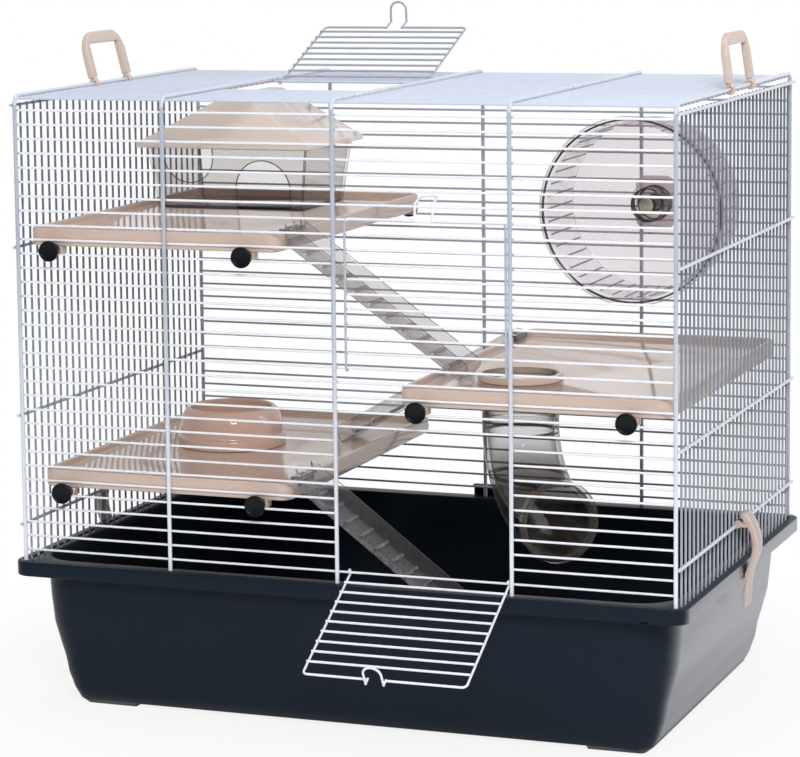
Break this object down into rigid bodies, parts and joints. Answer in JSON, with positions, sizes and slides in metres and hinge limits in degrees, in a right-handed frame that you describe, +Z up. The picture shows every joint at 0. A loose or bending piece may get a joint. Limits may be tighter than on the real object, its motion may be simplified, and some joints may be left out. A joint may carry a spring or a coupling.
{
  "type": "rodent cage",
  "caption": "Wire rodent cage on a dark plastic tub, with trays, ladders, a tube, a running wheel, a house, a bowl and hinged doors.",
  "frame": {"origin": "on the floor under the tub, at the middle of its footprint", "axes": "+Z up, +X to the right along the long side, +Y to the back"},
  "size_m": [0.6122, 0.5139, 0.5919],
  "materials": {
    "wire": "smooth white paint on round wire",
    "tub": "dark blue-grey plastic with a soft sheen",
    "beige": "glossy beige plastic",
    "smoky": "smoky clear plastic",
    "black": "black ribbed plastic",
    "bolt": "plain steel",
    "dark_smoky": "dark smoky clear plastic"
  },
  "bodies": {
    "cage": {"base_tub": "tub", "rim_catch": "black", "front_grille": "wire", "front_grille_right": "wire", "front_door_rows": "wire", "back_grille": "wire", "roof_grille": "wire", "left_grille": "wire", "right_grille": "wire", "upper_tray": "beige", "middle_tray": "beige", "lower_tray": "beige", "tray_brackets": "beige", "tray_knobs": "black", "wheel_bracket": "beige", "wheel_bolt": "bolt", "tube_collar": "smoky", "tube_straight": "smoky", "ladder_top": "smoky", "ladder_middle": "smoky", "ladder_bottom": "smoky"},
    "lower_door": {"lower_front_door": "wire"},
    "upper_door": {"upper_front_door": "wire"},
    "top_door": {"roof_door": "wire"},
    "left_handle": {"handle_left": "beige"},
    "right_handle": {"handle_right": "beige"},
    "left_clip": {"side_clip_left": "beige"},
    "right_clip": {"side_clip_right": "beige"},
    "wheel": {"wheel_disc": "beige", "wheel_drum": "beige"},
    "tube_outlet": {"tube_elbow": "smoky", "tube_end_ring": "smoky"},
    "house": {"house_floor": "dark_smoky", "house_walls": "beige"},
    "house_lid": {"house_roof": "beige"},
    "bowl": {"food_bowl": "beige"}
  },
  "joints": [
    {"name": "lower_door_hinge", "type": "hinge", "parent": "cage", "child": "lower_door", "pos_m": [0.07825, -0.18905, 0.1405], "axis": [1, 0, 0], "range_deg": [-117.8, 0.3]},
    {"name": "upper_door_hinge", "type": "hinge", "parent": "cage", "child": "upper_door", "pos_m": [0.07825, -0.18905, 0.31003], "axis": [1, 0, 0], "range_deg": [0, 140]},
    {"name": "roof_door_hinge", "type": "hinge", "parent": "cage", "child": "top_door", "pos_m": [-0.0755, 0.05386, 0.52555], "axis": [-1, 0, 0], "range_deg": [-158.2, 0.05]},
    {"name": "left_handle_pivot", "type": "hinge", "parent": "cage", "child": "left_handle", "pos_m": [-0.285, 0, 0.528], "axis": [0, 1, 0], "range_deg": [-106, 82]},
    {"name": "right_handle_pivot", "type": "hinge", "parent": "cage", "child": "right_handle", "pos_m": [0.285, 0.0124, 0.528], "axis": [0, 1, 0], "range_deg": [-60, 123]},
    {"name": "left_clip_pivot", "type": "hinge", "parent": "cage", "child": "left_clip", "pos_m": [-0.2883, 0, 0.16205], "axis": [0, 1, 0], "range_deg": [0, 20]},
    {"name": "right_clip_pivot", "type": "hinge", "parent": "cage", "child": "right_clip", "pos_m": [0.2883, 0, 0.16205], "axis": [0, -1, 0], "range_deg": [0, 20]},
    {"name": "wheel_spin", "type": "hinge", "parent": "cage", "child": "wheel", "pos_m": [0.1645, 0.144, 0.41121], "axis": [0, 1, 0], "continuous": true},
    {"name": "tube_swivel", "type": "hinge", "parent": "cage", "child": "tube_outlet", "pos_m": [0.1235, -0.084, 0.2553], "axis": [0, 0, 1], "range_deg": [-27, 134]},
    {"name": "house_lift", "type": "slide", "parent": "cage", "child": "house", "axis": [0, 0, 1], "range_m": [0, 0.0055]},
    {"name": "house_lid_lift", "type": "slide", "parent": "house", "child": "house_lid", "axis": [0, 0, 1], "range_m": [0, 0.0055]},
    {"name": "bowl_lift", "type": "slide", "parent": "cage", "child": "bowl", "axis": [0, 0, 1], "range_m": [0, 0.08]}
  ]
}
